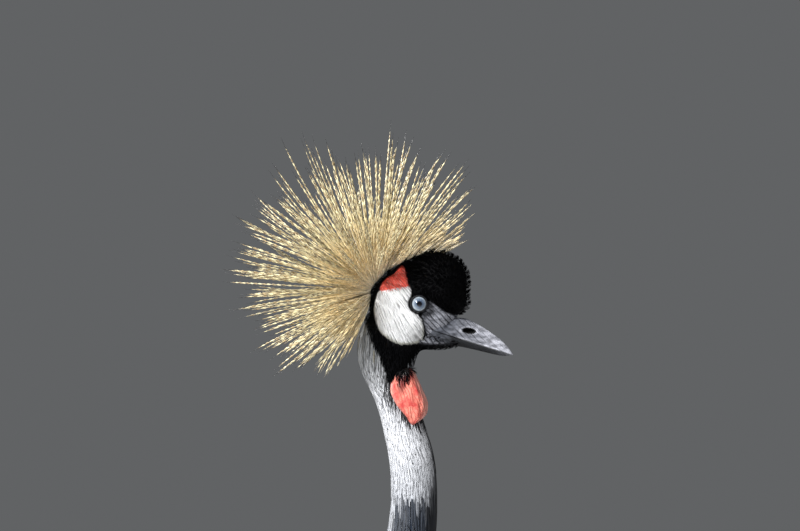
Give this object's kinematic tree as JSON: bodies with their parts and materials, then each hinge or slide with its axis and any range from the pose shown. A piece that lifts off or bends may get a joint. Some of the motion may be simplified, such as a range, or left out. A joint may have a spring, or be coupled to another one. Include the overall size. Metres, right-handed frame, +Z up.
{
  "type": "grey crowned crane",
  "caption": "Life-size standing grey crowned crane with a round burst of golden crest bristles, red throat pouch, folded wings and long black legs.",
  "frame": {"origin": "the middle of the bird's own bounding box, on the floor that its soles rest on", "axes": "+Z up, +X the way the bird faces, +Y to its left"},
  "size_m": [0.6716, 0.2246, 1.1002],
  "materials": {
    "head_plumage": "velvety short feathers, black with a white and red cheek",
    "crest": "stiff straw-gold bristles",
    "bill": "dull slate-grey horn",
    "eye": "wet and glossy, pale blue-grey iris",
    "wattle": "bare wrinkled red skin",
    "neck_plumage": "fine pale grey feathers",
    "body_plumage": "slate-grey feathers",
    "wing_plumage": "white, golden and chestnut feathers",
    "tail_plumage": "black feathers",
    "leg_skin": "black scaly skin",
    "claw": "black horn"
  },
  "bodies": {
    "root": {"head": "head_plumage", "crest": "crest", "bill_upper": "bill", "bill_lower": "bill", "eye_left": "eye", "eye_right": "eye", "wattle": "wattle", "neck_upper": "neck_plumage", "neck_lower": "neck_plumage", "torso": "body_plumage", "thigh_left": "body_plumage", "thigh_right": "body_plumage", "wing_left": "wing_plumage", "wing_right": "wing_plumage", "tail": "tail_plumage", "leg_left": "leg_skin", "leg_right": "leg_skin", "foot_left": "leg_skin", "foot_right": "leg_skin", "claw_left_hind": "claw", "claw_left_inner": "claw", "claw_left_middle": "claw", "claw_left_outer": "claw", "claw_right_hind": "claw", "claw_right_inner": "claw", "claw_right_middle": "claw", "claw_right_outer": "claw"}
  },
  "joints": []
}
